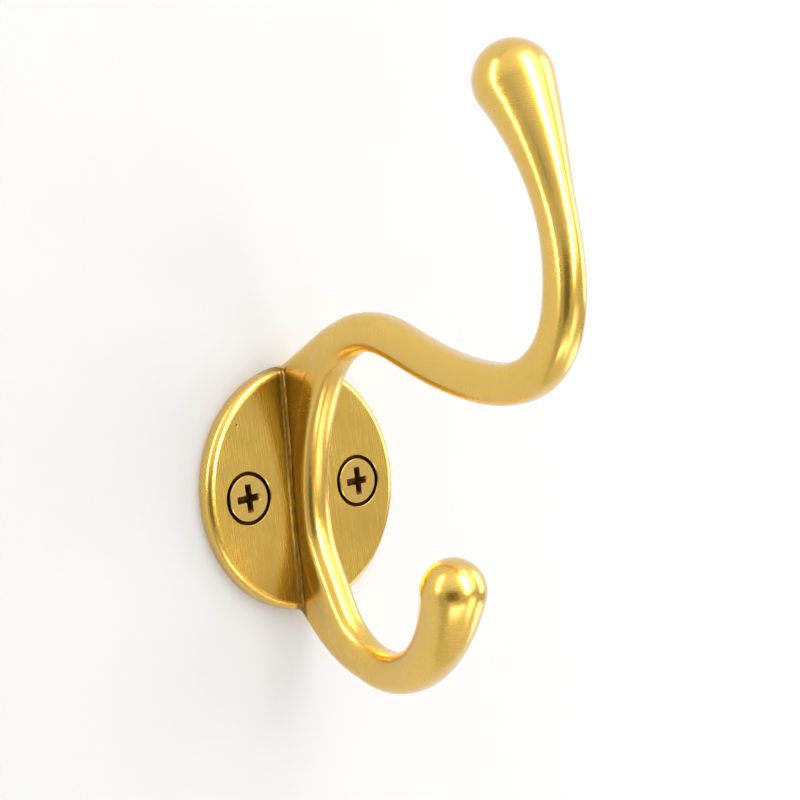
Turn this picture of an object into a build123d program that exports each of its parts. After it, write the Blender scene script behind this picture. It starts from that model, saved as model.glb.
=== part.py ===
import os
from math import acos, atan2, copysign, cos, degrees, pi, radians, sin, tan

from build123d import *

# A double coat hook: one brass casting and the two screws that fix it to a wall.
# Millimetres. The back of the plate is the plane Y = 0, the hook reaches out along -Y, and +Z is up.
# Most of the casting is drawn from the side, in a plane where x is the way out from the wall and y is up.
side_view = Plane(origin=(0, 0, 0), x_dir=(0, -1, 0), z_dir=(-1, 0, 0))

# Plate
plate_width = 38.0
plate_height = 40.2
plate_thickness = 2.8
plate_edge_round = 1.3
plate_back_break = 0.3

# Screw holes, counterbored above a countersunk seat
screw_spacing = 22.3
screw_drop = 0.4
mouth_diameter = 8.6
mouth_depth = 0.9
mouth_edge_break = 0.12
bore_clearance = 0.4
seat_gap = 0.05
cut_margin = 1.0

# Screws
head_diameter = 7.4
head_land = 0.35
head_edge_break = 0.12
head_cone_angle = 90.0
shank_diameter = 3.0
shank_end_depth = 9.0
thread_diameter = 4.0
thread_start_taper = 0.6
screw_length = 25.0
tip_length = 5.0
tip_diameter = 0.6
cross_span = 4.6
cross_bar = 1.0
cross_floor_span = 2.2
cross_floor_bar = 0.8
cross_depth = 2.0
cross_corner_round = 0.35

# Bar that makes the spine and both arms
bar_width = 5.35
bar_thickness = 6.3
bar_squareness = 2.8
round_squareness = 2.0
section_count = 12
section_spacing = 7.0
last_section_back = 1.0
near_section_back = 3.0

# Centreline of the bar, from the middle of the spine to the top of the hump and on to the upper ball
spine_out = 3.9
spine_middle = -4.0
spine_rise_radius = 40.8
spine_rise_angle = 34.0
hump_radius = 14.0
arm_fall_angle = 22.0
arm_fall_length = 10.8
dip_radius = 46.0
dip_angle = 20.0
cradle_radius = 12.8
cradle_angle = 79.0
riser_radius = 30.0
riser_angle = 20.0
upper_neck_radius = 66.0
upper_neck_angle = 20.8

# Centreline from the middle of the spine down to the lower ball
spine_fall_radius = 23.0
spine_fall_angle = 26.0
lower_fall_length = 7.5
lower_bend_radius = 14.2
lower_rise_angle = 45.0
lower_neck_radius = 22.0
lower_neck_angle = 30.0

# Balls. Each neck swells over its length and runs into the ball at the flank angle.
# The section turns round between two distances before the ball.
upper_ball_diameter = 12.0
upper_flank_angle = 13.0
upper_neck_length = 21.0
upper_round_start = 36.0
upper_round_end = 20.0
lower_ball_diameter = 10.4
lower_flank_angle = 7.0
lower_neck_length = 21.0
lower_round_start = 21.0
lower_round_end = 7.0

# Web between the spine and the plate
web_width = 5.0
web_edge_flat = 0.6
web_foot_out = 0.4
web_foot_inset = 0.1
web_top_roundness = 0.74
web_bottom_roundness = 0.94
web_crown_depth = 0.3
web_root_fillet = 0.8


def straight(length):
    return ("straight", length)


def bend(radius, turn):
    return ("bend", radius, turn)


def draw_run(start, heading, steps):
    """Tangent lines and arcs in the side view. A turn towards the left of the way travelled is positive."""
    edges = []
    for step in steps:
        if step[0] == "straight":
            edge = Line(start, start + heading * step[1])
        else:
            edge = JernArc(start, heading, step[1], step[2])
        edges.append(edge)
        start = edge @ 1
        heading = edge % 1
    return edges


def draw_centreline():
    """The bar's centreline from the middle of the spine: up to the hump, on to the upper ball, and down both ways."""
    middle = Vector(spine_out, spine_middle)
    rise = draw_run(middle, Vector(0, 1), [
        bend(spine_rise_radius, -spine_rise_angle),
        bend(hump_radius, spine_rise_angle - 90),
    ])
    reach = draw_run(rise[-1] @ 1, rise[-1] % 1, [
        bend(hump_radius, -arm_fall_angle),
        straight(arm_fall_length),
        bend(dip_radius, dip_angle),
        bend(cradle_radius, cradle_angle),
        bend(riser_radius, riser_angle),
        bend(upper_neck_radius, upper_neck_angle),
    ])
    fall = draw_run(middle, Vector(0, -1), [
        bend(spine_fall_radius, spine_fall_angle),
        straight(lower_fall_length),
        bend(lower_bend_radius, 90 - spine_fall_angle),
    ])
    lower_reach = draw_run(fall[-1] @ 1, fall[-1] % 1, [
        bend(lower_bend_radius, lower_rise_angle),
        bend(lower_neck_radius, lower_neck_angle),
    ])
    return rise, reach, fall, lower_reach


def bar_section(plane, width, thickness, squareness):
    """A section between an ellipse and a rectangle."""
    power = 2 / squareness
    points = []
    for step in range(section_count):
        angle = 2 * pi * step / section_count
        across = copysign(abs(cos(angle)) ** power, cos(angle)) * width / 2
        deep = copysign(abs(sin(angle)) ** power, sin(angle)) * thickness / 2
        points.append((across, deep))
    return plane * make_face(Spline(*points, periodic=True))


def arm_sections(edges, ball_diameter, flank_angle, neck_length, round_start, round_end, sense):
    """Sections from the spine out to the circle where the swelling neck runs tangent into its ball."""
    path = Wire([side_view.from_local_coords(edge) for edge in edges])
    seam_radius = ball_diameter / 2 * cos(radians(flank_angle))
    seam_back = ball_diameter / 2 * sin(radians(flank_angle))
    seam_distance = path.length - seam_back
    plain_length = seam_distance - near_section_back
    steps = round(plain_length / section_spacing)
    distances = [plain_length * step / steps for step in range(steps + 1)]
    distances += [seam_distance - last_section_back, seam_distance]
    sections = []
    for distance in distances:
        place = path.position_at(distance, PositionMode.LENGTH)
        along = path.tangent_at(distance, PositionMode.LENGTH)
        plane = Plane(origin=place, x_dir=(1, 0, 0), z_dir=along * sense)
        if distance == seam_distance:
            sections.append(plane * Circle(seam_radius))
            continue
        back = seam_distance - distance
        share = max(0, 1 - back / neck_length)
        sizes = []
        for size in (bar_width, bar_thickness):
            growth = seam_radius - size / 2
            sizes.append(size + 2 * growth * share ** (tan(radians(flank_angle)) * neck_length / growth))
        roundness = min(1, max(0, (round_start - back) / (round_start - round_end)))
        squareness = bar_squareness + (round_squareness - bar_squareness) * roundness
        sections.append(bar_section(plane, *sizes, squareness))
    outward = Plane(origin=plane.origin, x_dir=(1, 0, 0), z_dir=along)
    ball = outward * Pos(0, 0, seam_back) * Sphere(ball_diameter / 2)
    return sections, split(ball, bisect_by=outward, keep=Keep.TOP)


def build_bar(rise, reach, fall, lower_reach):
    """Spine and arms as one loft from ball to ball."""
    upper, upper_cap = arm_sections(
        rise + reach, upper_ball_diameter, upper_flank_angle, upper_neck_length,
        upper_round_start, upper_round_end, 1)
    lower, lower_cap = arm_sections(
        fall + lower_reach, lower_ball_diameter, lower_flank_angle, lower_neck_length,
        lower_round_start, lower_round_end, -1)
    return loft(lower[:0:-1] + upper) + upper_cap + lower_cap


def build_plate():
    outline = Plane.XZ * Ellipse(plate_width / 2, plate_height / 2)
    plate = extrude(outline, plate_thickness)
    front = plate.edges().group_by(Axis.Y)[0]
    plate = fillet(front, plate_edge_round)
    back = plate.edges().group_by(Axis.Y)[-1]
    return chamfer(back, plate_back_break)


def web_edge(start, foot, roundness, side):
    """An arc from a start towards the wall, then a line tangent to it down or up to the plate.

    Side is 1 above and -1 below. Roundness is the arc's radius as a share of the largest that reaches the foot.
    """
    way = foot - start
    radius = roundness * way.length ** 2 / (2 * abs(way.Y))
    to_foot = way + Vector(0, side * radius)
    direction = degrees(atan2(to_foot.X, to_foot.Y * side))
    tangent = degrees(acos(radius / to_foot.length))
    arc = JernArc(start, (-1, 0), radius, -side * (direction + tangent))
    return arc, Line(arc @ 1, foot)


def build_web(rise, fall):
    """The flat-sided web behind the spine, from the plate's rim to inside the hump and the lower bend."""
    foot = plate_height / 2 - web_foot_inset
    crown = (rise[-1] @ 1) + Vector(0, bar_thickness / 2 - web_crown_depth)
    keel = (fall[-1] @ 1) - Vector(0, bar_thickness / 2 - web_crown_depth)
    top_arc, top_line = web_edge(crown, Vector(web_foot_out, foot), web_top_roundness, 1)
    bottom_arc, bottom_line = web_edge(keel, Vector(web_foot_out, -foot), web_bottom_roundness, -1)
    hidden = [
        Line(rise[-1] @ 1, crown),
        Line((web_foot_out, foot), (web_foot_out, -foot)),
        Line(keel, fall[-1] @ 1),
    ]
    face = make_face([top_arc, top_line, bottom_line, bottom_arc] + hidden + rise + fall)
    web = extrude(side_view * face, web_width / 2, both=True)
    corners = []
    for edge in (top_arc, top_line, bottom_line, bottom_arc):
        for side in (-1, 1):
            middle = side_view.from_local_coords(edge @ 0.5) + Vector(side * web_width / 2, 0, 0)
            corners.append(web.edges().sort_by_distance(middle)[0])
    return fillet(corners, (web_width - web_edge_flat) / 2)


def screw_places():
    """A plane on the front of the plate for each screw, looking back into the wall."""
    front = -plate_thickness
    for side in (-1, 1):
        yield Plane(origin=(side * screw_spacing / 2, front, -screw_drop), x_dir=(1, 0, 0), z_dir=(0, 1, 0))


def cone_depth(radius):
    """How deep below the head's top its cone has narrowed to a radius."""
    return head_land + (head_diameter / 2 - radius) / tan(radians(head_cone_angle / 2))


def build_hole():
    """The cutter for one hole, along +Z from the front of the plate."""
    mouth = mouth_diameter / 2
    bore = thread_diameter / 2 + bore_clearance
    slack = seat_gap / cos(radians(head_cone_angle / 2))
    ledge = head_diameter / 2 - (mouth_depth - head_land) * tan(radians(head_cone_angle / 2)) + slack
    outline = Polyline(
        (0, -cut_margin),
        (mouth + mouth_edge_break, -cut_margin),
        (mouth + mouth_edge_break, 0),
        (mouth, mouth_edge_break),
        (mouth, mouth_depth),
        (ledge, mouth_depth),
        (bore, cone_depth(bore - slack)),
        (bore, plate_thickness + cut_margin),
        (0, plate_thickness + cut_margin),
        close=True,
    )
    return revolve(Plane.XZ * make_face(outline), Axis.Z)


def build_screw():
    """A countersunk cross-head screw along +Z, its head's top on the plane Z = 0."""
    head = head_diameter / 2
    shank = shank_diameter / 2
    thread = thread_diameter / 2
    outline = Polyline(
        (0, 0),
        (head - head_edge_break, 0),
        (head, head_edge_break),
        (head, head_land),
        (shank, cone_depth(shank)),
        (shank, shank_end_depth),
        (thread, shank_end_depth + thread_start_taper),
        (thread, screw_length - tip_length),
        (tip_diameter / 2, screw_length),
        (0, screw_length),
        close=True,
    )
    screw = revolve(Plane.XZ * make_face(outline), Axis.Z)
    return screw - build_cross()


def build_cross():
    """The cross recess: two bars that taper to a blunt floor, with a small round in each inner corner."""
    top = cross_outline(cross_span, cross_bar)
    floor = cross_outline(cross_floor_span, cross_floor_bar)
    return loft([top, Pos(0, 0, cross_depth) * floor])


def cross_outline(span, bar):
    arms = Rectangle(span, bar) + Rectangle(bar, span)
    inner = [corner for corner in arms.vertices() if corner.center().length < span / 2]
    return fillet(inner, cross_corner_round)


def build_hook():
    rise, reach, fall, lower_reach = draw_centreline()
    plate = build_plate()
    web = build_web(rise, fall)
    foot = plate + web
    foot = fillet(new_edges(plate, web, combined=foot), web_root_fillet)
    hook = foot + build_bar(rise, reach, fall, lower_reach)
    hole = build_hole()
    for place in screw_places():
        hook = hook - place * hole
    return hook


def main():
    hook = build_hook()
    screw = build_screw()
    screws = Compound(children=[place * screw for place in screw_places()])
    os.makedirs("parts", exist_ok=True)
    export_step(hook, "parts/hook_body.step")
    export_step(screws, "parts/mounting_screws.step")


main()
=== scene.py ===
import math

import bmesh
import bpy
from mathutils import Matrix, Vector


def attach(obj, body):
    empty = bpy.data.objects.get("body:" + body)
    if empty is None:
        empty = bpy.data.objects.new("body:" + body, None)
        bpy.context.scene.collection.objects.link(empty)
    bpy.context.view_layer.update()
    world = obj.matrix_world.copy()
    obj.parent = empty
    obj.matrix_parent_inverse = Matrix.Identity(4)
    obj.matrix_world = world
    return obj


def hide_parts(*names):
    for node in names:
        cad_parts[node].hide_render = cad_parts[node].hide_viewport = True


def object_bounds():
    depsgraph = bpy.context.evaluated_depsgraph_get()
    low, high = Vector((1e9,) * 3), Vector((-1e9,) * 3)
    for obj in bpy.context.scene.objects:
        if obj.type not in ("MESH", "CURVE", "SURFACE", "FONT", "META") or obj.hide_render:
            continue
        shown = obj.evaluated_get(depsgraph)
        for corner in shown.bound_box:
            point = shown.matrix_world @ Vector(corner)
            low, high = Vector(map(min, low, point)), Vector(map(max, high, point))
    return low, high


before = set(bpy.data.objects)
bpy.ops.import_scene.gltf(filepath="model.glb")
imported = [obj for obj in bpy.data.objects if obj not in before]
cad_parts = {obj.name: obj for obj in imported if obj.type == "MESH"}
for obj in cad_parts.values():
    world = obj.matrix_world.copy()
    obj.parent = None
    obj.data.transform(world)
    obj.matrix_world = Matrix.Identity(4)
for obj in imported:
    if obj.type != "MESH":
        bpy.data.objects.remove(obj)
cadLow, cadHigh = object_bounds()
print("frame loaded:", ", ".join(sorted(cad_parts)))

mm = 0.001

# The camera stands where the photograph was taken from
cameraView = {
    "place": (-207.3 * mm, -280.5 * mm, 36.45 * mm),
    "azimuth": -39.5,
    "elevation": 3.885,
    "roll": -4.59,
    "lens": 95.85,
    "sensor": 36,
    "nearest": 0.01,
    "farthest": 20,
}

# Wall and floor, which only show off the hook
stageLook = {
    "wallGap": 0.1 * mm,
    "wallWidth": 6.0,
    "wallHeight": 4.0,
    "openingWidth": 36.6 * mm,
    "openingHeight": 38.8 * mm,
    "openingSides": 96,
    "floorDrop": 0.8,
    "floorDepth": 4.0,
    "paint": (0.795, 0.80, 0.815, 1),
    "shadePaint": (0.62, 0.62, 0.62, 1),
    "whiteShare": 0.12,
    "whiteInBrass": 0.45,
    "floorPaint": (0.62, 0.60, 0.57, 1),
}

# Softboxes: azimuth from straight ahead of the wall towards +X, and how bright they look.
# The narrow ones are kept off the wall, as a photographer flags a strip, so that only the brass shows them.
lamps = {
    "key": {
        "azimuth": 20, "elevation": 34, "distance": 1.0,
        "width": 0.72, "height": 1.15, "brightness": 1.9, "lightsWall": True},
    "core": {
        "azimuth": 8, "elevation": 24, "distance": 0.9,
        "width": 0.26, "height": 0.9, "brightness": 8.5, "lightsWall": False},
    "low": {
        "azimuth": 28, "elevation": -38, "distance": 1.0,
        "width": 0.42, "height": 0.7, "brightness": 1.5, "lightsWall": True},
    "left": {
        "azimuth": -91, "elevation": 28, "distance": 0.24,
        "width": 0.028, "height": 0.24, "brightness": 9.0, "lightsWall": False},
    "right": {
        "azimuth": 70, "elevation": 12, "distance": 1.0,
        "width": 0.42, "height": 0.8, "brightness": 2.6, "lightsWall": True},
    "streak": {
        "azimuth": 84, "elevation": -36, "distance": 1.0,
        "width": 0.7, "height": 0.30, "brightness": 1.6, "lightsWall": True},
    "under": {
        "azimuth": -28, "elevation": -47, "distance": 0.9,
        "width": 0.7, "height": 0.2, "brightness": 2.2, "lightsWall": True},
    "behind": {
        "azimuth": 205, "elevation": 35, "distance": 0.8,
        "width": 0.6, "height": 0.6, "brightness": 1.6, "lightsWall": True},
}

# The room is paler overhead and darker below, with a dark card in front for the brass to show.
room = {
    "colour": (1, 0.99, 0.97, 1),
    "below": 0.22,
    "above": 1.05,
    "fadeFrom": -0.7,
    "fadeTo": 0.9,
    "cardAzimuth": -44,
    "cardElevation": -8,
    "cardDistance": 0.9,
    "cardWidth": 0.64,
    "cardHeight": 0.52,
    "cardPaint": (0.11, 0.10, 0.08, 1),
}

# Satin brass under clear lacquer. A pair of numbers is where something starts to show and where it is full.
castBrass = {
    "colour": (0.85, 0.54, 0.048, 1),
    "deepColour": (0.73, 0.42, 0.030, 1),
    # painted shade colour for the corner by the web, also used for the rim pits
    "cornerShadeAndPitColour": (0.22, 0.11, 0.016, 1),
    # painted shade colour for the counterbores
    "holeShadeColour": (0.05, 0.022, 0.004, 1),
    "level": 0.68,
    "levelFromGrain": 0.7,
    "levelFromCloud": 0.6,
    "levelFromScratch": 0.15,
    "cloudSize": 7 * mm,
    "roughness": 0.26,
    "roughnessFromGrain": 0.14,
    "roughnessFromCloud": 0.08,
    "roughnessInHole": 0.3,
    "roughnessInCorner": 0.2,
    "coat": 1.0,
    "coatRoughness": 0.17,
    "coatIOR": 1.88,
}

# The brushed grain. Sizes run across the plate, into it and up it, and across and along the arms' scratches.
castGrain = {
    "plateSize": (0.24 * mm, 0.96 * mm, 6.0 * mm),
    "scratchSize": (0.288 * mm, 1.0, 14.4 * mm),
    "plateTilt": 3,
    "armAcross": 0.20 * mm,
    "armAlong": 3.2 * mm,
    "armShare": 0.55,
    "detail": 4.0,
    "unevenness": 0.62,
    "scratchShown": (0.58, 0.70),
    "scratchDepth": 0.5,
    "depth": 0.010 * mm,
    "cradleOut": (32 * mm, 44 * mm),
    "riserUp": (28 * mm, 36 * mm),
    "lowerArmUp": (-12 * mm, -2 * mm),
}

# Where the plate, its counterbores and its back lie, the painted shade in the web's corner, and the pits
# that casting left
castMarksAndShade = {
    "plateFace": (-3.7 * mm, -2.9 * mm),
    "backFace": (-0.3 * mm, -0.05 * mm),
    "holeEdge": (4.3 * mm, 4.35 * mm),
    "holeDepth": (-2.71 * mm, -2.6 * mm),
    "cornerSide": (2.3 * mm, 2.45 * mm),
    "cornerFace": (-4.3 * mm, -3.5 * mm),
    "cornerEnd": 3.0 * mm,
    "cornerReach": 3.6 * mm,
    "wedgeReach": 3.2 * mm,
    "wedgeUp": (-2 * mm, 19 * mm),
    "speckleSize": (0.5 * mm, 0.5 * mm, 1.2 * mm),
    # how dark the painted shade in the web's corner is, evenly and in speckles
    "evenShade": 0.25,
    "speckledShade": 1.1,
    "plateHalfWidth": 19.0 * mm,
    "plateHalfHeight": 20.1 * mm,
    "rimInner": (0.84, 0.87),
    "rimOuter": (0.92, 0.95),
    "rimRight": (-5 * mm, -2 * mm),
    "rimUp": (2 * mm, 5 * mm),
    "pitSpacing": 1.5 * mm,
    "pitEdge": (0.10, 0.22),
    "pitDepth": 0.08 * mm,
}

# The bar's bends, as the way out from the wall, the height and the radius of each
barBends = {
    "hump": (22.48 * mm, 10.99 * mm, 14.0 * mm),
    "cradle": (53.81 * mm, 29.39 * mm, 12.8 * mm),
    "hook": (22.28 * mm, -14.6 * mm, 14.2 * mm),
}

# Screws: head, neck and thread sizes are the CAD's, and the pitch is that of a 4 mm wood screw
screwShape = {
    "side": 11.15 * mm,
    "drop": 0.4 * mm,
    "front": -2.8 * mm,
    "edgeBreak": 0.12 * mm,
    "headRadius": 3.7 * mm,
    "land": 0.35 * mm,
    "shankRadius": 1.5 * mm,
    "coneEnd": 2.55 * mm,
    "threadStart": 9.0 * mm,
    "threadRadius": 1.98 * mm,
    "rootRadius": 1.36 * mm,
    "pitch": 1.8 * mm,
    "crest": 0.14 * mm,
    "flank": 0.34 * mm,
    "taperStart": 20.0 * mm,
    "tip": 24.96 * mm,
    "tipRadius": 0.3 * mm,
    "rings": 72,
    "cutThreshold": 0.001 * mm,
    "threadOverlap": 0.31 * mm,
    "runOutStep": 0.15 * mm,
    "runOutSteps": 9,
    "neckShare": 0.98,
    "taperSteps": 33,
    "smoothAngle": 25,
    "crossSpan": 4.6 * mm,
    "crossBar": 1.15 * mm,
    "floorSpan": 2.2 * mm,
    "floorBar": 0.8 * mm,
    "crossDepth": 2.0 * mm,
    "crossLip": 0.5 * mm,
    "hubSides": 32,
    "hubRadius": 0.95 * mm,
    "hubFloorRadius": 0.6 * mm,
    "leftTurn": -3.3,
    "rightTurn": -2.0,
}

screwBrass = {
    "colour": (0.88, 0.58, 0.13, 1),
    # painted shade colour for the cross recess
    "recessShadeColour": (0.10, 0.045, 0.009, 1),
    "recessTop": (-2.7 * mm, -2.1 * mm),
    "recessFloor": (-0.75 * mm, -0.6 * mm),
    "recessReach": (2.3 * mm, 2.4 * mm),
    "roughness": 0.24,
    "roughnessFromGrain": 0.1,
    "roughnessInRecess": 0.4,
    "grainSize": 0.5 * mm,
    "grainDepth": 0.008 * mm,
    "coat": 1.0,
    "coatRoughness": 0.16,
}


class Value:
    # a shader socket that takes part in plain Python maths
    def __init__(self, finish, socket):
        self.finish = finish
        self.socket = socket

    def maths(self, operation, first, second=0.0):
        return self.finish.add("ShaderNodeMath", {0: first, 1: second}, operation=operation)

    def __add__(self, other):
        return self.maths("ADD", self, other)

    __radd__ = __add__

    def __sub__(self, other):
        return self.maths("SUBTRACT", self, other)

    def __rsub__(self, other):
        return self.maths("SUBTRACT", other, self)

    def __mul__(self, other):
        return self.maths("MULTIPLY", self, other)

    __rmul__ = __mul__

    def __pow__(self, other):
        return self.maths("POWER", self, other)

    def __abs__(self):
        return self.maths("ABSOLUTE", self)

    def rise(self, low, high):
        # 0 below low, 1 above high, smooth in between
        sockets = {"Value": self, "From Min": low, "From Max": high}
        return self.finish.add("ShaderNodeMapRange", sockets, interpolation_type="SMOOTHSTEP")


class Finish:
    # a material while its nodes are put together
    def __init__(self, name):
        self.material = bpy.data.materials.new(name)
        self.material.use_nodes = True
        self.tree = self.material.node_tree
        self.tree.nodes.clear()
        self.output = self.tree.nodes.new("ShaderNodeOutputMaterial")

    def add(self, kind, sockets=None, output=0, **settings):
        node = self.tree.nodes.new(kind)
        for name, value in settings.items():
            setattr(node, name, value)
        for name, value in (sockets or {}).items():
            if isinstance(value, Value):
                self.tree.links.new(value.socket, node.inputs[name])
            else:
                node.inputs[name].default_value = value
        return Value(self, node.outputs[output])

    def place(self):
        return self.add("ShaderNodeTexCoord", output="Object")

    def axes(self, vector):
        split = self.add("ShaderNodeSeparateXYZ", {0: vector})
        return [Value(self, socket) for socket in split.socket.node.outputs]

    def noise(self, vector, size, detail=3.0, roughness=0.5):
        # size is the length of one feature along x, y and z
        stretched = self.add("ShaderNodeMapping", {
            "Vector": vector,
            "Scale": tuple(1 / length for length in size),
        })
        return self.add("ShaderNodeTexNoise", {
            "Vector": stretched,
            "Scale": 1.0,
            "Detail": detail,
            "Roughness": roughness,
        })

    def blend(self, share, first, second):
        # mixes two colours
        return self.add(
            "ShaderNodeMix", {"Factor": share, 6: first, 7: second}, output=2, data_type="RGBA")

    def finishWith(self, shader):
        self.tree.links.new(shader.socket, self.output.inputs["Surface"])
        return self.material


def deselectAll():
    for thing in bpy.context.selected_objects:
        thing.select_set(False)


def setMaterial(piece, material):
    piece.data.materials.clear()
    piece.data.materials.append(material)


def fromScrewAxis(x, z):
    # how far a place is from the axis of the nearer screw
    sideways = abs(x) - screwShape["side"]
    upwards = z + screwShape["drop"]
    return (sideways * sideways + upwards * upwards) ** 0.5


def brushedGrain(finish, place, onPlate):
    # straight on the plate, fanned about each bend of the bar and level round the riser
    look = castGrain
    detail, unevenness = look["detail"], look["unevenness"]
    x, y, z = finish.axes(place)
    out = 0 - y

    tilt = (0, math.radians(look["plateTilt"]), 0)
    tilted = finish.add("ShaderNodeMapping", {"Vector": place, "Rotation": tilt})
    plateGrain = finish.noise(tilted, look["plateSize"], detail, unevenness)
    scratched = finish.noise(tilted, look["scratchSize"], detail / 2).rise(*look["scratchShown"]) * onPlate

    across, along = look["armAcross"], look["armAlong"]
    fans = []
    for outCentre, upCentre, radius in barBends.values():
        outward, upward = out - outCentre, z - upCentre
        turn = finish.add("ShaderNodeMath", {0: upward, 1: outward}, operation="ARCTAN2")
        fan = finish.add("ShaderNodeCombineXYZ", {
            0: x,
            1: turn * radius,
            2: (outward * outward + upward * upward) ** 0.5,
        })
        fans.append(finish.noise(fan, (along, across, along), detail, unevenness))
    aboutHump, aboutCradle, aboutHook = fans
    level = finish.noise(place, (along, along, across), detail, unevenness)
    towardsCradle = out.rise(*look["cradleOut"])
    inRiser = z.rise(*look["riserUp"])
    inLowerArm = 1 - z.rise(*look["lowerArmUp"])
    armGrain = aboutHump * (1 - towardsCradle) + aboutCradle * towardsCradle
    armGrain = armGrain * (1 - inRiser) + level * inRiser
    armGrain = armGrain * (1 - inLowerArm) + aboutHook * inLowerArm
    armGrain = (armGrain - 0.5) * look["armShare"] + 0.5
    return plateGrain * onPlate + armGrain * (1 - onPlate), scratched


def cornerShade(finish, place):
    # painted shade: a speckled dark wedge in the corner between the web and the plate, widening upwards,
    # standing in for the shade there and its reflection in the plate
    marks = castMarksAndShade
    x, y, z = finish.axes(place)
    speckle = finish.noise(place, marks["speckleSize"], 3.0, 0.6)
    wedgeEdge = marks["cornerReach"] + z.rise(*marks["wedgeUp"]) * marks["wedgeReach"]
    sideOfWeb = abs(x)
    inShadedCorner = sideOfWeb.rise(*marks["cornerSide"]) * (1 - sideOfWeb.rise(marks["cornerEnd"], wedgeEdge))
    inShadedCorner = inShadedCorner * y.rise(*marks["cornerFace"])
    return inShadedCorner * (marks["evenShade"] + speckle * marks["speckledShade"])


def rimPits(finish, place):
    # a few pits along the upper left of the rim, from 0 at the plate's middle to 1 at its outline
    marks = castMarksAndShade
    x, y, z = finish.axes(place)
    sideShare = x * (1 / marks["plateHalfWidth"])
    upShare = z * (1 / marks["plateHalfHeight"])
    rimPlace = (sideShare ** 2 + upShare ** 2) ** 0.5
    onRim = rimPlace.rise(*marks["rimInner"]) * (1 - rimPlace.rise(*marks["rimOuter"]))
    onRim = onRim * (1 - x.rise(*marks["rimRight"])) * z.rise(*marks["rimUp"])
    cells = finish.add("ShaderNodeTexVoronoi", {"Vector": place, "Scale": 1 / marks["pitSpacing"]})
    return (1 - cells.rise(*marks["pitEdge"])) * onRim


def makeCastBrass():
    look, marks = castBrass, castMarksAndShade
    finish = Finish("satinBrassCasting")
    place = finish.place()
    x, y, z = finish.axes(place)
    onPlate = y.rise(*marks["plateFace"])
    inFront = 1 - y.rise(*marks["backFace"])
    grain, scratched = brushedGrain(finish, place, onPlate)
    cloud = finish.noise(place, (look["cloudSize"],) * 3)

    # painted shade: the counterbores are painted dark, standing in for the shade in them
    inShadedHole = 1 - fromScrewAxis(x, z).rise(*marks["holeEdge"])
    inShadedHole = inShadedHole * y.rise(*marks["holeDepth"]) * inFront
    inShadedCorner = cornerShade(finish, place) * inFront
    pits = rimPits(finish, place) * inFront

    level = (grain - 0.5) * look["levelFromGrain"] + (cloud - 0.5) * look["levelFromCloud"]
    level = level + look["level"] - scratched * look["levelFromScratch"]
    colour = finish.blend(level, look["deepColour"], look["colour"])
    # painted shade darkens the corner by the web, and the rim pits take the same dark colour
    colour = finish.blend(inShadedCorner, colour, look["cornerShadeAndPitColour"])
    colour = finish.blend(pits, colour, look["cornerShadeAndPitColour"])
    colour = finish.blend(inShadedHole, colour, look["holeShadeColour"])
    roughness = (grain - 0.5) * look["roughnessFromGrain"] + (cloud - 0.5) * look["roughnessFromCloud"]
    roughness = roughness + look["roughness"]
    roughness = roughness + inShadedHole * look["roughnessInHole"] + inShadedCorner * look["roughnessInCorner"]
    depth = castGrain["depth"]
    bump = finish.add("ShaderNodeBump", {
        "Strength": 1.0,
        "Distance": depth,
        "Height": grain - scratched * castGrain["scratchDepth"] - pits * (marks["pitDepth"] / depth),
    })
    shader = finish.add("ShaderNodeBsdfPrincipled", {
        "Base Color": colour,
        "Metallic": 1.0,
        "Roughness": roughness,
        "Coat Weight": look["coat"] * (1 - inShadedCorner) * (1 - inShadedHole),
        "Coat Roughness": look["coatRoughness"],
        "Coat IOR": look["coatIOR"],
        "Normal": bump,
    })
    return finish.finishWith(shader)


def makeScrewBrass():
    look = screwBrass
    finish = Finish("screwBrass")
    place = finish.place()
    x, y, z = finish.axes(place)
    fine = finish.noise(place, (look["grainSize"],) * 3, 4.0, 0.6)
    # painted shade: the cross recess is painted dark
    recess = y.rise(*look["recessTop"]) * (1 - y.rise(*look["recessFloor"]))
    recess = recess * (1 - fromScrewAxis(x, z).rise(*look["recessReach"]))
    roughness = look["roughness"] + (fine - 0.5) * look["roughnessFromGrain"]
    bump = finish.add("ShaderNodeBump", {
        "Strength": 1.0,
        "Distance": look["grainDepth"],
        "Height": fine,
    })
    shader = finish.add("ShaderNodeBsdfPrincipled", {
        "Base Color": finish.blend(recess, look["colour"], look["recessShadeColour"]),
        "Metallic": 1.0,
        "Roughness": roughness + recess * look["roughnessInRecess"],
        "Coat Weight": look["coat"] * (1 - recess),
        "Coat Roughness": look["coatRoughness"],
        "Normal": bump,
    })
    return finish.finishWith(shader)


def selectWhere(test):
    # selects the vertices of the mesh in edit mode that pass a test on their place
    mesh = bmesh.from_edit_mesh(bpy.context.object.data)
    mesh.select_mode = {"VERT"}
    for vertex in mesh.verts:
        vertex.select = test(vertex.co)
    mesh.select_flush_mode()
    bmesh.update_edit_mesh(bpy.context.object.data)


def drawIn(test, share):
    # brings the vertices that pass the test nearer to the screw's axis
    selectWhere(test)
    bpy.ops.transform.resize(value=(share, 1, share), center_override=(0, 0, 0))


def applyModifier(piece, kind, **settings):
    modifier = piece.modifiers.new(kind, kind)
    for name, value in settings.items():
        setattr(modifier, name, value)
    bpy.context.view_layer.objects.active = piece
    bpy.ops.object.modifier_apply(modifier=modifier.name)


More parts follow.
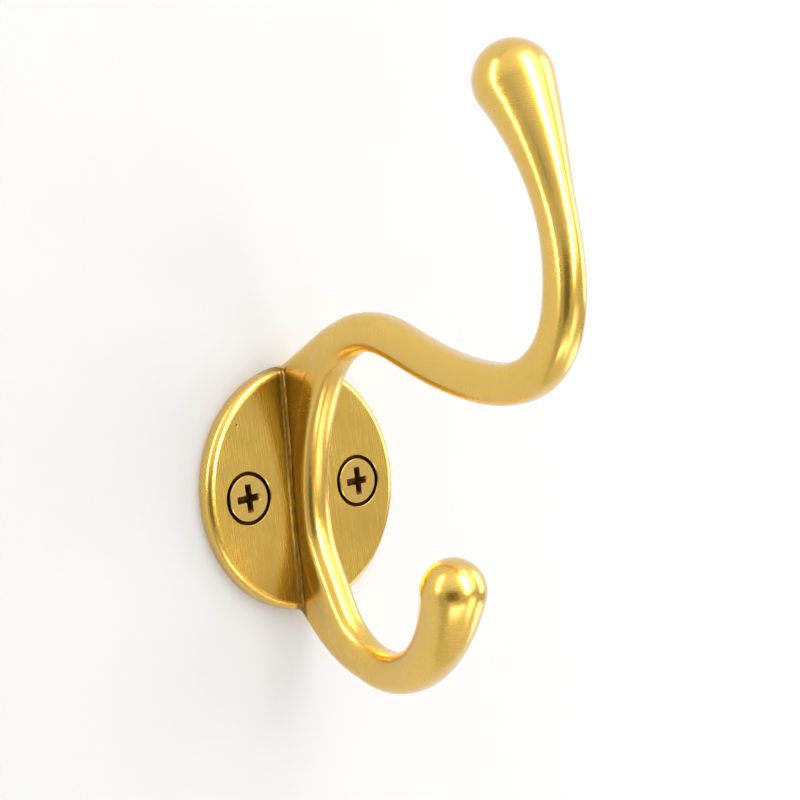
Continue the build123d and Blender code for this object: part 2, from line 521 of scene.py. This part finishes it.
def turnBody(name, rings):
    # a closed round body along +Y from (depth, radius) pairs
    deselectAll()
    depth, radius = rings[0]
    bpy.ops.mesh.primitive_circle_add(
        vertices=screwShape["rings"], radius=radius, fill_type="NGON",
        location=(0, depth, 0), rotation=(math.pi / 2, 0, 0))
    body = bpy.context.object
    body.name = name
    bpy.ops.object.transform_apply(location=True, rotation=True, scale=True)
    bpy.ops.object.mode_set(mode="EDIT")
    bpy.ops.mesh.select_all(action="SELECT")
    for nextDepth, nextRadius in rings[1:]:
        along = (0, nextDepth - depth, 0)
        bpy.ops.mesh.extrude_region_move(TRANSFORM_OT_translate={"value": along})
        share = nextRadius / radius
        bpy.ops.transform.resize(value=(share, 1, share), center_override=(0, nextDepth, 0))
        depth, radius = nextDepth, nextRadius
    bpy.ops.mesh.select_all(action="SELECT")
    bpy.ops.mesh.normals_make_consistent(inside=False)
    bpy.ops.object.mode_set(mode="OBJECT")
    return body


def makeThread():
    # one pitch of the profile, wound along +Y, cut flat and drawn to a point
    look = screwShape
    deselectAll()
    begin = look["threadStart"] - 2 * look["pitch"]
    bpy.ops.mesh.primitive_plane_add(size=look["pitch"], location=(look["rootRadius"], begin, 0))
    thread = bpy.context.object
    thread.name = "threadWinding"
    bpy.ops.object.transform_apply(location=True, rotation=True, scale=True)
    bpy.ops.object.mode_set(mode="EDIT")
    bpy.ops.mesh.select_all(action="SELECT")
    bpy.ops.mesh.merge(type="CENTER")
    rise = look["threadRadius"] - look["rootRadius"]
    root = look["pitch"] - look["crest"] - 2 * look["flank"]
    flank, crest = look["flank"], look["crest"]
    for out, along in ((0, root), (rise, flank), (0, crest), (-rise, flank)):
        bpy.ops.mesh.extrude_vertices_move(TRANSFORM_OT_translate={"value": (out, along, 0)})
    bpy.ops.object.mode_set(mode="OBJECT")
    turns = math.ceil((look["tip"] - begin) / look["pitch"]) + 1
    applyModifier(
        thread, "SCREW", axis="Y", angle=2 * math.pi, screw_offset=look["pitch"], iterations=turns,
        steps=look["rings"], render_steps=look["rings"])
    bpy.ops.object.mode_set(mode="EDIT")
    bpy.ops.mesh.select_all(action="SELECT")
    bpy.ops.mesh.remove_doubles(threshold=look["cutThreshold"])
    bpy.ops.mesh.bisect(
        plane_co=(0, look["threadStart"] - look["threadOverlap"], 0), plane_no=(0, 1, 0),
        use_fill=True, clear_inner=True, threshold=look["cutThreshold"])
    bpy.ops.mesh.select_all(action="SELECT")
    bpy.ops.mesh.bisect(
        plane_co=(0, look["tip"], 0), plane_no=(0, 1, 0),
        use_fill=True, clear_outer=True, threshold=look["cutThreshold"])

    # the thread runs out at its start, and the last stretch narrows to the tip
    neck = look["shankRadius"] * look["neckShare"] / look["threadRadius"]
    steps = look["runOutSteps"]
    for step in range(steps):
        edge = look["threadStart"] + look["runOutStep"] * (steps - step)
        before = neck + (1 - neck) * (steps - step) / steps
        after = neck + (1 - neck) * (steps - step - 1) / steps
        drawIn(lambda place: place.y < edge, after / before)
    end = look["tipRadius"] / look["threadRadius"]
    steps = look["taperSteps"]
    for step in range(steps):
        edge = look["taperStart"] + (look["tip"] - look["taperStart"]) * step / steps
        before = 1 - (1 - end) * step / steps
        after = 1 - (1 - end) * (step + 1) / steps
        drawIn(lambda place: place.y > edge, after / before)
    bpy.ops.mesh.select_all(action="SELECT")
    bpy.ops.mesh.normals_make_consistent(inside=False)
    bpy.ops.object.mode_set(mode="OBJECT")
    return thread


def makeCrossCutter():
    # two bars that taper to the floor of the recess, and the round hub where they meet
    look = screwShape
    lip, depth = look["crossLip"], look["crossDepth"]
    top, floor = (look["crossSpan"], look["crossBar"]), (look["floorSpan"], look["floorBar"])
    parts = []
    for name, size, floorSize in (
        ("crossBarFlat", top, floor),
        ("crossBarUpright", top[::-1], floor[::-1]),
    ):
        deselectAll()
        bpy.ops.mesh.primitive_cube_add(size=1, location=(0, -lip / 2, 0))
        bar = bpy.context.object
        bar.name = name
        bar.scale = (size[0], lip, size[1])
        bpy.ops.object.transform_apply(location=True, rotation=True, scale=True)
        bpy.ops.object.mode_set(mode="EDIT")
        selectWhere(lambda place: place.y > -lip / 2)
        bpy.ops.mesh.extrude_region_move(TRANSFORM_OT_translate={"value": (0, depth, 0)})
        bpy.ops.transform.resize(
            value=(floorSize[0] / size[0], 1, floorSize[1] / size[1]), center_override=(0, depth, 0))
        bpy.ops.mesh.select_all(action="SELECT")
        bpy.ops.mesh.normals_make_consistent(inside=False)
        bpy.ops.object.mode_set(mode="OBJECT")
        parts.append(bar)
    deselectAll()
    bpy.ops.mesh.primitive_cone_add(
        vertices=look["hubSides"], radius1=look["hubRadius"], radius2=look["hubFloorRadius"],
        depth=depth + lip, location=(0, (depth - lip) / 2, 0), rotation=(-math.pi / 2, 0, 0))
    hub = bpy.context.object
    hub.name = "crossHub"
    bpy.ops.object.transform_apply(location=True, rotation=True, scale=True)
    parts.append(hub)
    for other in parts[1:]:
        applyModifier(parts[0], "BOOLEAN", object=other, operation="UNION", solver="EXACT")
        bpy.data.objects.remove(other)
    return parts[0]


def makeScrews():
    look = screwShape
    screw = turnBody("screwLeft", (
        (0, look["headRadius"] - look["edgeBreak"]),
        (look["edgeBreak"], look["headRadius"]),
        (look["land"], look["headRadius"]),
        (look["coneEnd"], look["shankRadius"]),
        (look["threadStart"], look["shankRadius"]),
    ))
    thread = makeThread()
    applyModifier(screw, "BOOLEAN", object=thread, operation="UNION", solver="EXACT")
    bpy.data.objects.remove(thread)
    cutter = makeCrossCutter()
    applyModifier(screw, "BOOLEAN", object=cutter, operation="DIFFERENCE", solver="EXACT")
    bpy.data.objects.remove(cutter)
    deselectAll()
    screw.select_set(True)
    bpy.context.view_layer.objects.active = screw
    # slivers from the cuts go, so that the mesh stays closed when it is split into triangles
    bpy.ops.object.mode_set(mode="EDIT")
    bpy.ops.mesh.select_all(action="SELECT")
    bpy.ops.mesh.dissolve_degenerate(threshold=look["cutThreshold"])
    bpy.ops.mesh.select_all(action="SELECT")
    bpy.ops.mesh.quads_convert_to_tris(quad_method="BEAUTY", ngon_method="BEAUTY")
    bpy.ops.object.mode_set(mode="OBJECT")
    bpy.ops.object.shade_smooth_by_angle(angle=math.radians(look["smoothAngle"]))
    other = screw.copy()
    other.data = screw.data.copy()
    other.name = "screwRight"
    bpy.context.scene.collection.objects.link(other)
    brass = makeScrewBrass()
    for piece, side, turn in ((screw, -1, look["leftTurn"]), (other, 1, look["rightTurn"])):
        piece.rotation_euler = (0, math.radians(turn), 0)
        piece.location = (side * look["side"], look["front"], -look["drop"])
        deselectAll()
        piece.select_set(True)
        bpy.context.view_layer.objects.active = piece
        bpy.ops.object.transform_apply(location=True, rotation=True, scale=True)
        setMaterial(piece, brass)
        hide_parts("mounting_screws")
        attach(piece, "root")


def makeWallPaint():
    # white to the camera, partly so in the brass, with a soft shadow, and not to be seen from behind
    look = stageLook
    finish = Finish("wallPaint")
    glow = finish.add("ShaderNodeEmission", {"Color": (1, 1, 1, 1), "Strength": 1.0})
    path = finish.add("ShaderNodeLightPath").socket.node.outputs
    seen = Value(finish, path["Is Camera Ray"]) + Value(finish, path["Is Transmission Ray"])
    reflected = Value(finish, path["Is Glossy Ray"])
    whiteness = seen + reflected * look["whiteInBrass"]
    colour = finish.blend(whiteness, look["shadePaint"], look["paint"])
    paint = finish.add("ShaderNodeBsdfDiffuse", {"Color": colour})
    glowShare = whiteness * look["whiteShare"]
    lit = finish.add("ShaderNodeMixShader", {0: glowShare, 1: paint, 2: glow})
    clear = finish.add("ShaderNodeBsdfTransparent")
    behind = finish.add("ShaderNodeNewGeometry", output="Backfacing")
    return finish.finishWith(finish.add("ShaderNodeMixShader", {0: behind, 1: lit, 2: clear}))


def makeFlatPaint(name, colour):
    finish = Finish(name)
    return finish.finishWith(finish.add("ShaderNodeBsdfDiffuse", {"Color": colour}))


def makeWall():
    look = stageLook
    deselectAll()
    bpy.ops.mesh.primitive_circle_add(
        vertices=look["openingSides"], radius=0.5, fill_type="NOTHING",
        location=(0, 0, 0), rotation=(math.pi / 2, 0, 0))
    wall = bpy.context.object
    wall.name = "wallBehindHook"
    width, height = look["openingWidth"], look["openingHeight"]
    wall.scale = (width, height, 1)
    bpy.ops.object.transform_apply(location=False, rotation=False, scale=True)
    bpy.ops.object.mode_set(mode="EDIT")
    bpy.ops.mesh.select_all(action="SELECT")
    bpy.ops.mesh.extrude_region_move()
    bpy.ops.transform.resize(value=(look["wallWidth"] / width, 1, look["wallHeight"] / height))
    bpy.ops.mesh.select_all(action="SELECT")
    bpy.ops.mesh.normals_make_consistent(inside=False)
    bpy.ops.object.mode_set(mode="OBJECT")
    wall.location = (0, look["wallGap"], 0)
    bpy.ops.object.transform_apply(location=True, rotation=True, scale=True)
    if wall.data.polygons[0].normal.y > 0:
        wall.data.flip_normals()
    setMaterial(wall, makeWallPaint())
    return wall


def makeFloor():
    look = stageLook
    deselectAll()
    middle = (0, -look["floorDepth"] / 2, -look["floorDrop"])
    bpy.ops.mesh.primitive_plane_add(size=1, location=middle)
    floor = bpy.context.object
    floor.name = "floorBelow"
    floor.scale = (look["wallWidth"], look["floorDepth"], 1)
    bpy.ops.object.transform_apply(location=True, rotation=True, scale=True)
    setMaterial(floor, makeFlatPaint("floorPaint", look["floorPaint"]))
    return floor


def direction(azimuth, elevation):
    # azimuth 0 is straight out from the wall, and grows towards +X
    a, e = math.radians(azimuth), math.radians(elevation)
    return Vector((math.sin(a) * math.cos(e), -math.cos(a) * math.cos(e), math.sin(e)))


def makeLamp(name, look, notLit):
    towards = direction(look["azimuth"], look["elevation"])
    data = bpy.data.lights.new(name + "Softbox", "AREA")
    data.shape = "RECTANGLE"
    data.size = look["width"]
    data.size_y = look["height"]
    data.energy = look["brightness"] * math.pi * look["width"] * look["height"]
    lamp = bpy.data.objects.new(name + "Softbox", data)
    bpy.context.scene.collection.objects.link(lamp)
    lamp.location = lampAim + towards * look["distance"]
    lamp.visible_camera = False
    lamp.rotation_mode = "QUATERNION"
    lamp.rotation_quaternion = (-towards).to_track_quat("-Z", "Y")
    if not look["lightsWall"]:
        lamp.light_linking.receiver_collection = notLit


def makeLamps(backdrop):
    notLit = bpy.data.collections.new("flaggedOff")
    for piece in backdrop:
        notLit.objects.link(piece)
    for entry in notLit.collection_objects:
        entry.light_linking.link_state = "EXCLUDE"
    for name, look in lamps.items():
        makeLamp(name, look, notLit)


def makeCard():
    # seen only in the brass
    towards = direction(room["cardAzimuth"], room["cardElevation"])
    deselectAll()
    bpy.ops.mesh.primitive_plane_add(size=1, location=(0, 0, 0))
    card = bpy.context.object
    card.name = "darkCard"
    card.scale = (room["cardWidth"], room["cardHeight"], 1)
    card.rotation_mode = "QUATERNION"
    card.rotation_quaternion = towards.to_track_quat("Z", "Y")
    card.location = lampAim + towards * room["cardDistance"]
    bpy.ops.object.transform_apply(location=True, rotation=True, scale=True)
    setMaterial(card, makeFlatPaint("cardPaint", room["cardPaint"]))
    card.visible_camera = False
    card.visible_diffuse = False
    card.visible_shadow = False
    return card


def makeWorld():
    world = bpy.data.worlds.new("studio")
    bpy.context.scene.world = world
    world.use_nodes = True
    nodes, links = world.node_tree.nodes, world.node_tree.links
    nodes.clear()
    output = nodes.new("ShaderNodeOutputWorld")
    place = nodes.new("ShaderNodeTexCoord")
    split = nodes.new("ShaderNodeSeparateXYZ")
    level = nodes.new("ShaderNodeMapRange")
    level.interpolation_type = "SMOOTHSTEP"
    level.inputs["From Min"].default_value = room["fadeFrom"]
    level.inputs["From Max"].default_value = room["fadeTo"]
    level.inputs["To Min"].default_value = room["below"]
    level.inputs["To Max"].default_value = room["above"]
    glow = nodes.new("ShaderNodeBackground")
    glow.inputs["Color"].default_value = room["colour"]
    white = nodes.new("ShaderNodeBackground")
    white.inputs["Color"].default_value = (1, 1, 1, 1)
    path = nodes.new("ShaderNodeLightPath")
    mix = nodes.new("ShaderNodeMixShader")
    links.new(place.outputs["Generated"], split.inputs[0])
    links.new(split.outputs["Z"], level.inputs["Value"])
    links.new(level.outputs["Result"], glow.inputs["Strength"])
    links.new(path.outputs["Is Camera Ray"], mix.inputs[0])
    links.new(glow.outputs[0], mix.inputs[1])
    links.new(white.outputs[0], mix.inputs[2])
    links.new(mix.outputs[0], output.inputs["Surface"])


def makeCamera():
    look = cameraView
    back = direction(look["azimuth"], look["elevation"])
    data = bpy.data.cameras.new("photographView")
    data.lens = look["lens"]
    data.sensor_width = look["sensor"]
    data.clip_start = look["nearest"]
    data.clip_end = look["farthest"]
    camera = bpy.data.objects.new("photographView", data)
    bpy.context.scene.collection.objects.link(camera)
    upright = (-back).to_track_quat("-Z", "Y").to_matrix()
    camera.matrix_world = Matrix.Translation(look["place"]) @ (
        upright @ Matrix.Rotation(math.radians(look["roll"]), 3, "Z")).to_4x4()
    bpy.context.scene.camera = camera


bpy.context.scene.view_settings.view_transform = "Standard"
lampAim = (cadLow + cadHigh) / 2

setMaterial(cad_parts["hook_body"], makeCastBrass())
print("casting done")
makeScrews()
print("screws done")

wall, floor, card = makeWall(), makeFloor(), makeCard()
makeWorld()
makeLamps((wall, floor))
makeCamera()
print("stage, lamps and camera done")
